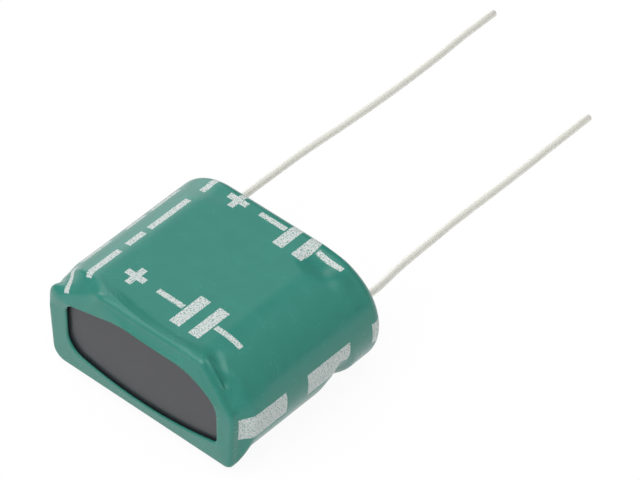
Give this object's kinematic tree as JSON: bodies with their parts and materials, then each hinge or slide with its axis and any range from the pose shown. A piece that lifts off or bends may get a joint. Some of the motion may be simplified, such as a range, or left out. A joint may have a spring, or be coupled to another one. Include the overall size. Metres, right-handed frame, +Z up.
{
  "type": "supercapacitor",
  "caption": "Radial supercapacitor pack: round cells side by side in one green heat-shrunk sleeve, with insulating end plates and long tinned leads of unequal length.",
  "frame": {"origin": "middle of the flat underside that the pack lies on", "axes": "+Z up from the rest face, +Y along the pack towards the leads, +X across the pack towards the negative lead"},
  "size_m": [0.0174, 0.0417, 0.0088],
  "materials": {
    "sleeve_film": "satin green heat-shrunk film",
    "plate_board": "smooth near-black insulating board",
    "can_aluminium": "drawn aluminium",
    "stopper_rubber": "moulded black rubber",
    "cell_film": "black heat-shrunk film",
    "stud_aluminium": "bare aluminium",
    "tinned_wire": "tinned wire, slightly dull"
  },
  "bodies": {
    "root": {"outer_sleeve": "sleeve_film", "base_plate": "plate_board", "lead_plate": "plate_board", "cell_a_can": "can_aluminium", "cell_b_can": "can_aluminium", "cell_a_stopper": "stopper_rubber", "cell_b_stopper": "stopper_rubber", "cell_a_sleeve": "cell_film", "cell_b_sleeve": "cell_film", "positive_boss": "stud_aluminium", "negative_boss": "stud_aluminium", "cell_a_link_boss": "stud_aluminium", "cell_b_link_boss": "stud_aluminium", "positive_lead": "tinned_wire", "negative_lead": "tinned_wire", "cell_a_link_lead": "tinned_wire", "cell_b_link_lead": "tinned_wire"}
  },
  "joints": []
}
